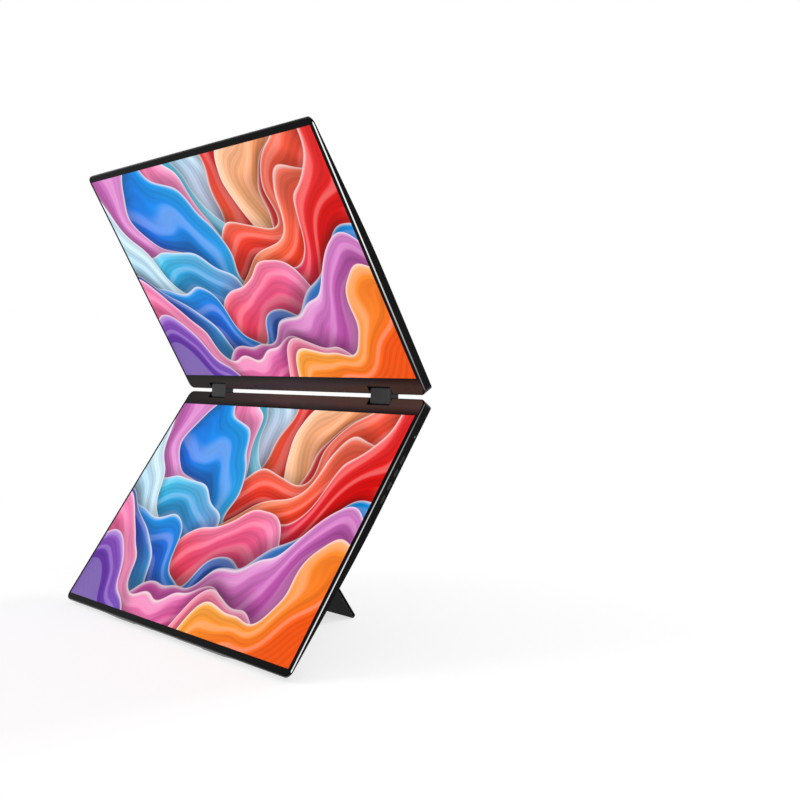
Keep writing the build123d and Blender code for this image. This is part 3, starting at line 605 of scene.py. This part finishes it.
def dressed(node, radius):
    """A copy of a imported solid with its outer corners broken."""
    mesh = frame["nodes"][node].data.copy()
    mesh.name = f"{node}_dressed"
    work = bmesh.new()
    work.from_mesh(mesh)
    bmesh.ops.remove_doubles(work, verts=work.verts, dist=WELD)
    weight = work.edges.layers.float.new("bevel_weight_edge")
    for edge in work.edges:
        sharp = len(edge.link_faces) == 2 and edge.calc_face_angle() > SHARP_ANGLE
        edge.smooth = not sharp
        edge[weight] = 1.0 if sharp and edge.is_convex else 0.0
    for face in work.faces:
        face.smooth = True
    work.to_mesh(mesh)
    work.free()
    piece = bpy.data.objects.new(f"{node}_dressed", mesh)
    scene.collection.objects.link(piece)
    corner = piece.modifiers.new("broken_corners", "BEVEL")
    corner.limit_method = "WEIGHT"
    corner.width = radius
    corner.segments = CORNER_STEPS
    corner.use_clamp_overlap = False
    flats = piece.modifiers.new("flat_flats", "WEIGHTED_NORMAL")
    flats.keep_sharp = True
    slot = SLOT_OF[node]
    mesh.materials.clear()
    mesh.materials.append(FINISHES[slot])
    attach(piece, BODY_OF[node])
    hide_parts(node)
    return piece


# %% [markdown]
# ## Every solid gets its finish
#
# Corners are broken by a few hundredths of a millimetre on thin pieces, and by more on the ones
# that hands touch. The other solids keep their own mesh and only take the material of their slot.
# The glass comes later, with its picture.

# %% Dress and finish all solids
CORNER_RADII = {
    "lower_front_frame": 0.06 * MM,
    "upper_front_frame": 0.06 * MM,
    "left_hinge_block": 0.12 * MM,
    "right_hinge_block": 0.12 * MM,
    "hinge_end_caps": 0.12 * MM,
    "kickstand": 0.15 * MM,
    "badge_plate": 0.03 * MM,
}
pieces = {node: dressed(node, radius) for node, radius in CORNER_RADII.items()}
for node, solid in frame["nodes"].items():
    if node not in pieces and SLOT_OF[node] in FINISHES:
        solid.data.materials.clear()
        solid.data.materials.append(FINISHES[SLOT_OF[node]])
print("dressed solids:", len(pieces))

# %% [markdown]
# ## A row of contacts
#
# Each socket has a row of gilt pads on both faces of its tongue. Pads could be copied in a loop,
# but a row is a rule, and Geometry Nodes can hold the rule: a line of points, a pad on each, once
# above and once below the tongue. Count and Pitch are its inputs, so one tree serves every socket.

# %% Contact row tree
PAD_SIZE = (3.2 * MM, 0.30 * MM, 0.06 * MM)
PAD_LIFT = 0.36 * MM
GILT = finish(
    "gilt_contact", ((0.80, 0.55, 0.22, 1.0), (0.85, 0.60, 0.28, 1.0)), roughness=(0.22, 0.30),
    grain=(9000, 200, 0.03), Metallic=1.0,
)

row_tree = bpy.data.node_groups.new("contact_row", "GeometryNodeTree")
row_tree.interface.new_socket("Geometry", in_out="INPUT", socket_type="NodeSocketGeometry")
count_socket = row_tree.interface.new_socket("Count", in_out="INPUT", socket_type="NodeSocketInt")
pitch_socket = row_tree.interface.new_socket("Pitch", in_out="INPUT", socket_type="NodeSocketFloat")
row_tree.interface.new_socket("Geometry", in_out="OUTPUT", socket_type="NodeSocketGeometry")
asked = row_tree.nodes.new("NodeGroupInput").outputs
half_count = calc(row_tree, "MULTIPLY", calc(row_tree, "SUBTRACT", asked["Count"], 1.0), -0.5)
half_row = calc(row_tree, "MULTIPLY", half_count, asked["Pitch"])
start = put(row_tree, "ShaderNodeCombineXYZ", {1: half_row}).outputs[0]
offset = put(row_tree, "ShaderNodeCombineXYZ", {1: asked["Pitch"]}).outputs[0]
line = {"Count": asked["Count"], "Start Location": start, "Offset": offset}
points = put(row_tree, "GeometryNodeMeshLine", line).outputs[0]
pad = put(row_tree, "GeometryNodeMeshCube", {"Size": PAD_SIZE}).outputs["Mesh"]
pads = put(row_tree, "GeometryNodeInstanceOnPoints", {"Points": points, "Instance": pad}).outputs[0]
both = row_tree.nodes.new("GeometryNodeJoinGeometry")
for lift in (PAD_LIFT, -PAD_LIFT):
    moved = put(row_tree, "GeometryNodeTransform", {"Geometry": pads, "Translation": (0, 0, lift)})
    row_tree.links.new(moved.outputs[0], both.inputs[0])
real = put(row_tree, "GeometryNodeRealizeInstances", {"Geometry": both.outputs[0]}).outputs[0]
gilded = put(row_tree, "GeometryNodeSetMaterial", {"Geometry": real, "Material": GILT}).outputs[0]
row_tree.links.new(gilded, row_tree.nodes.new("NodeGroupOutput").inputs[0])
print("contact row inputs:", count_socket.name, pitch_socket.name)

# %% [markdown]
# ## Contacts in the sockets
#
# The rows sit on the tongues of five sockets, all in the lower screen. Five pieces would do, but one
# is enough, because nothing moves between them. A modifier on an empty mesh runs the tree for each
# socket, and the result is read back as a plain mesh, set on its tongue and joined with the others.

# %% Contacts of all sockets
TONGUE_MIDDLE = -172.0 * MM
SOCKET_DEPTH = 5.2 * MM
CONTACT_ROWS = [
    # place along the slab from the hinge edge, pads, pitch, in mm
    (28.6, 11, 0.5),
    (47.8, 11, 0.5),
    (106.6, 11, 0.5),
    (67.3, 10, 0.75),
    (125.8, 10, 0.75),
]

contact_work = bmesh.new()
for along, count, pitch in CONTACT_ROWS:
    carrier = bpy.data.objects.new("contact_carrier", bpy.data.meshes.new("contact_carrier"))
    scene.collection.objects.link(carrier)
    rows = carrier.modifiers.new("rows", "NODES")
    rows.node_group = row_tree
    rows[count_socket.identifier] = count
    rows[pitch_socket.identifier] = pitch * MM
    bpy.context.view_layer.update()
    evaluated = carrier.evaluated_get(bpy.context.evaluated_depsgraph_get())
    row_mesh = bpy.data.meshes.new_from_object(evaluated)
    tongue = Matrix.Translation((TONGUE_MIDDLE, CHIN + DISPLAY[1] / 2 - along * MM, -SOCKET_DEPTH))
    row_mesh.transform(SLABS["lower"] @ tongue)
    contact_work.from_mesh(row_mesh)
    bpy.data.objects.remove(carrier)
    bpy.data.meshes.remove(row_mesh)
contact_mesh = bpy.data.meshes.new("socket_contacts")
contact_work.to_mesh(contact_mesh)
contact_work.free()
contact_mesh.materials.append(GILT)
contacts = bpy.data.objects.new("socket_contacts", contact_mesh)
scene.collection.objects.link(contacts)
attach(contacts, "lower_screen")
print("contact rows:", len(CONTACT_ROWS), "with", len(contact_mesh.polygons), "faces")

# %% [markdown]
# ## One sheet of the picture
#
# Both screens show a generic picture: sheets of silk that overlap. An image file isn't needed for
# that, because a sheet is a rule too. It is everything on one side of a waving line. It has a light
# crest, a body that deepens away from it, bands of sheen, fine threads along the crest and a soft
# shadow on what lies behind. One group draws one sheet over the colour below it, and its Turn says
# from which side the sheet comes.

# %% Silk sheet group
silk_tree, taken, given = shader_group(
    "silk_sheet",
    [("Below", COLOUR), ("Across", NUMBER), ("Up", NUMBER), ("Turn", NUMBER), ("Rise", NUMBER),
     ("Swell", NUMBER), ("Waves", NUMBER), ("Phase", NUMBER), ("First", COLOUR), ("Second", COLOUR),
     ("Depth", NUMBER)],
    [("Colour", COLOUR)],
)


def silk(operation, first, second=0.0, third=0.0, clamp=False):
    """One sum inside the sheet."""
    return calc(silk_tree, operation, first, second, third, clamp)


def ramp(value, low, high, start, end):
    """A soft step inside the sheet."""
    return step(silk_tree, value, low, high, start, end, "SMOOTHSTEP")


def shade(colour, value):
    """A colour of the sheet, times a number."""
    level = put(silk_tree, "ShaderNodeCombineColor", {0: value, 1: value, 2: value}).outputs[0]
    return blend_colour(silk_tree, 1.0, colour, level, "MULTIPLY")


# %% [markdown]
# ### The waving line
#
# Turn sets the way along the line and the level across it. Two sines make a wave that doesn't look
# regular. What the rest needs is how far a point lies inside the sheet, and what share of its depth
# that is.

# %% The waving line
SECOND_WAVE, SECOND_PHASE, SECOND_SHARE = 2.3, 1.1, 0.3

cosine = silk("COSINE", taken["Turn"])
sine = silk("SINE", taken["Turn"])
run = silk("MULTIPLY_ADD", taken["Across"], cosine, silk("MULTIPLY", taken["Up"], sine))
level = silk("SUBTRACT", silk("MULTIPLY", taken["Up"], cosine), silk("MULTIPLY", taken["Across"], sine))
angle = silk("MULTIPLY_ADD", run, taken["Waves"], taken["Phase"])
second_wave = silk("SINE", silk("MULTIPLY_ADD", angle, SECOND_WAVE, SECOND_PHASE))
wave = silk("ADD", silk("SINE", angle), silk("MULTIPLY", second_wave, SECOND_SHARE))
inside = silk("SUBTRACT", silk("MULTIPLY_ADD", wave, taken["Swell"], taken["Rise"]), level)
deep = silk("DIVIDE", inside, taken["Depth"], clamp=True)
print("nodes for the line:", len(silk_tree.nodes))

# %% [markdown]
# ### The cloth
#
# The colour runs from First to Second along the line. A Gamma node deepens it with depth and keeps
# it saturated, where a mix with black would make it dull. Sheen and threads shade it, and the crest
# is laid on last.

# %% The cloth
HUE_SPAN = 0.6
GAMMA_GAIN, GAMMA_CREST = 0.9, 0.75
SHEEN_BANDS, SHEEN_SHADE = 13.0, 0.16
SHEEN_START, SHEEN_LIGHT = 0.2, 0.12
THREAD_SPREAD = 0.8
THREADS, THREAD_SHADE = 190.0, 0.07
FINE_THREADS, FINE_SLANT, FINE_SHADE = 510.0, 3.0, 0.04
CREST_WIDTH, CREST_LIGHT = 0.018, 0.7
SHADOW_REACH, SHADOW_LEVEL = -0.09, 0.66
EDGE_WIDTH = 0.004
SHEEN_COLOUR = (1.0, 0.94, 0.92, 1.0)
CREST_COLOUR = (1.0, 0.92, 0.9, 1.0)

hue = blend_colour(silk_tree, ramp(run, -HUE_SPAN, HUE_SPAN, 0.0, 1.0), taken["First"], taken["Second"])
gamma = silk("MULTIPLY_ADD", deep, GAMMA_GAIN, GAMMA_CREST)
body = put(silk_tree, "ShaderNodeGamma", {0: hue, 1: gamma}).outputs[0]
sheen = silk("SINE", silk("MULTIPLY_ADD", deep, SHEEN_BANDS, angle))
into = silk("POWER", silk("MAXIMUM", inside, 0.0), THREAD_SPREAD)
threads = silk("SINE", silk("MULTIPLY", into, THREADS))
slant = silk("MULTIPLY", angle, FINE_SLANT)
fine_threads = silk("SINE", silk("MULTIPLY_ADD", into, FINE_THREADS, slant))
folds = silk("MULTIPLY_ADD", sheen, SHEEN_SHADE, 1.0)
folds = silk("MULTIPLY_ADD", threads, THREAD_SHADE, folds)
folds = silk("MULTIPLY_ADD", fine_threads, FINE_SHADE, folds)
body = shade(body, folds)
body = blend_colour(silk_tree, ramp(sheen, SHEEN_START, 1.0, 0.0, SHEEN_LIGHT), body, SHEEN_COLOUR)
body = blend_colour(silk_tree, ramp(inside, 0.0, CREST_WIDTH, CREST_LIGHT, 0.0), body, CREST_COLOUR)
below = shade(taken["Below"], ramp(inside, SHADOW_REACH, 0.0, 1.0, SHADOW_LEVEL))
edge = ramp(inside, 0.0, EDGE_WIDTH, 0.0, 1.0)
silk_tree.links.new(blend_colour(silk_tree, edge, below, body), given[0])
print("nodes for a sheet:", len(silk_tree.nodes))

# %% [markdown]
# ## The sheets
#
# The picture is a stack of sheets, laid from back to front. Random numbers could place them, but a
# written table lets each one be moved by itself. They come in turn from the left and from the
# right, so that none of them covers all the others. Lengths count the picture's height as one. Warm
# colours meet blues and pinks, and slow noise bends the whole stack.

# %% The sheets
PEACH, GOLD, ORANGE = (1.0, 0.48, 0.26, 1), (1.0, 0.42, 0.05, 1), (1.0, 0.24, 0.02, 1)
CORAL, RED = (1.0, 0.12, 0.06, 1), (0.80, 0.02, 0.02, 1)
PINK, MAGENTA = (0.95, 0.24, 0.48, 1), (0.55, 0.02, 0.28, 1)
ORCHID, VIOLET = (0.66, 0.20, 0.56, 1), (0.24, 0.07, 0.50, 1)
BLUE, AZURE = (0.01, 0.06, 0.45, 1), (0.0, 0.24, 0.80, 1)
CYAN, PALE = (0.04, 0.50, 0.80, 1), (0.60, 0.80, 0.92, 1)
SHEET_INPUTS = ("Turn", "Rise", "Swell", "Waves", "Phase", "First", "Second", "Depth")
SHEETS = [
    # turn, rise, swell, waves, phase, first colour, second colour, depth
    (1.45, 0.25, 0.07, 5.0, 0.3, PEACH, GOLD, 0.30),
    (-1.40, 0.30, 0.07, 4.6, 1.9, PALE, PINK, 0.30),
    (1.30, 0.08, 0.08, 5.0, 2.5, ORANGE, RED, 0.28),
    (-1.20, 0.12, 0.08, 5.2, 0.9, CYAN, PALE, 0.28),
    (1.20, -0.08, 0.07, 5.4, 4.2, GOLD, PEACH, 0.26),
    (-1.10, -0.02, 0.07, 5.0, 3.3, PINK, VIOLET, 0.26),
    (1.15, -0.22, 0.07, 5.6, 0.8, CORAL, RED, 0.26),
    (0.55, 0.14, 0.09, 5.0, 2.2, RED, CORAL, 0.24),
    (-0.50, 0.12, 0.09, 5.2, 4.0, AZURE, CYAN, 0.24),
    (1.00, -0.36, 0.06, 5.8, 1.4, PEACH, ORANGE, 0.24),
    (-0.95, -0.18, 0.07, 5.4, 1.6, ORCHID, PINK, 0.24),
    (0.35, 0.02, 0.08, 5.6, 5.0, ORANGE, CORAL, 0.22),
    (-0.30, -0.02, 0.08, 5.6, 3.0, CYAN, VIOLET, 0.22),
    (0.80, -0.22, 0.07, 5.8, 2.6, MAGENTA, RED, 0.22),
    (-0.80, -0.32, 0.06, 5.8, 0.4, PALE, CYAN, 0.22),
    (0.15, -0.10, 0.08, 6.0, 1.1, RED, PINK, 0.20),
    (-0.15, -0.18, 0.08, 6.0, 4.4, AZURE, BLUE, 0.20),
    (0.70, -0.40, 0.05, 6.2, 0.9, VIOLET, AZURE, 0.20),
    (-0.60, -0.44, 0.05, 6.2, 2.9, BLUE, CYAN, 0.20),
    (0.30, -0.27, 0.06, 6.4, 3.9, MAGENTA, ORCHID, 0.18),
    (-0.25, -0.34, 0.06, 6.4, 0.2, PINK, MAGENTA, 0.18),
    (0.10, -0.40, 0.05, 6.6, 5.5, CORAL, PINK, 0.16),
    (0.50, -0.50, 0.04, 6.8, 1.7, GOLD, ORANGE, 0.16),
    (-0.40, -0.52, 0.04, 6.8, 4.1, VIOLET, BLUE, 0.16),
]
DRIFT_SCALE, DRIFT_DETAIL = 11.0, 0.5
DRIFT_MIDDLE, DRIFT_REACH = 0.5, 0.55


def lit_picture(tree, place):
    """The colour of the picture at a place in the slab frame."""
    drift = noise(tree, place, DRIFT_SCALE, DRIFT_DETAIL)["Color"]
    drift = put(tree, "ShaderNodeSeparateColor", {0: drift}).outputs
    ways = {}
    for axis, way in enumerate(("Across", "Up")):
        share = calc(tree, "DIVIDE", split(tree, place)[axis], DISPLAY[1])
        bend = calc(tree, "SUBTRACT", drift[axis], DRIFT_MIDDLE)
        ways[way] = calc(tree, "ADD", share, calc(tree, "MULTIPLY", bend, DRIFT_REACH))
    colour = PEACH
    for row in SHEETS:
        values = {"Below": colour, **ways, **dict(zip(SHEET_INPUTS, row))}
        colour = put(tree, "ShaderNodeGroup", values, node_tree=silk_tree).outputs[0]
    return colour


print("sheets in the picture:", len(SHEETS))

# %% [markdown]
# ## Screens
#
# Behind the smooth dark glass the lit picture ends a few millimetres before the edge, and the rest
# is a printed black border. A panel of its own behind clear glass would need refraction and would
# still look flat, so the glass itself glows where the picture is. A Mapping node turns object
# coordinates into the slab frame, so that the same picture stands upright on both slabs. The wide
# border at the hinge carries a painted reflection of the other screen, a warm brown that fades out
# towards the left.

# %% Glass of both screens
BLACK_GLASS = grey(0.002)
CHIN_REFLECTION = (0.105, 0.056, 0.046, 1.0)
REFLECTION_LEAST = 0.1
GLASS_ROUGHNESS = 0.08
GLASS_SPECULAR = 0.045


def screen_glass(name):
    """Black glass with the lit picture inside its border."""
    paint = bpy.data.materials.new(f"{name}_screen_glass")
    paint.use_nodes = True
    tree = paint.node_tree
    shader = tree.nodes["Principled BSDF"]
    place = local_place(tree, SLABS[name])
    axes = split(tree, place)
    in_width = calc(tree, "LESS_THAN", calc(tree, "ABSOLUTE", axes[0]), DISPLAY[0] / 2)
    in_height = calc(tree, "LESS_THAN", calc(tree, "ABSOLUTE", axes[1]), DISPLAY[1] / 2)
    lit = calc(tree, "MULTIPLY", in_width, in_height)
    glow = blend_colour(tree, lit, grey(0.0), lit_picture(tree, place))
    tree.links.new(glow, shader.inputs["Emission Color"])
    shader.inputs["Emission Strength"].default_value = 1.0
    hinge_way = 1 if name == "lower" else -1
    past_picture = calc(tree, "SUBTRACT", calc(tree, "MULTIPLY", axes[1], hinge_way), DISPLAY[1] / 2)
    chin = step(tree, past_picture, 0.0, CHIN / 2)
    # Painted reflection: warm brown on the wide border at the hinge, fading out towards the left.
    reflection_fade = step(tree, axes[0], -DISPLAY[0] / 2, 0.0, REFLECTION_LEAST, 1.0)
    chin_reflection = blend_colour(tree, calc(tree, "MULTIPLY", chin, reflection_fade), BLACK_GLASS, CHIN_REFLECTION)
    tree.links.new(chin_reflection, shader.inputs["Base Color"])
    shader.inputs["Roughness"].default_value = GLASS_ROUGHNESS
    shader.inputs["Specular IOR Level"].default_value = GLASS_SPECULAR
    return paint


for name in SLABS:
    glass = frame["nodes"][f"{name}_cover_glass"]
    glass.data.materials.clear()
    glass.data.materials.append(screen_glass(name))
print("screens:", ", ".join(SLABS))
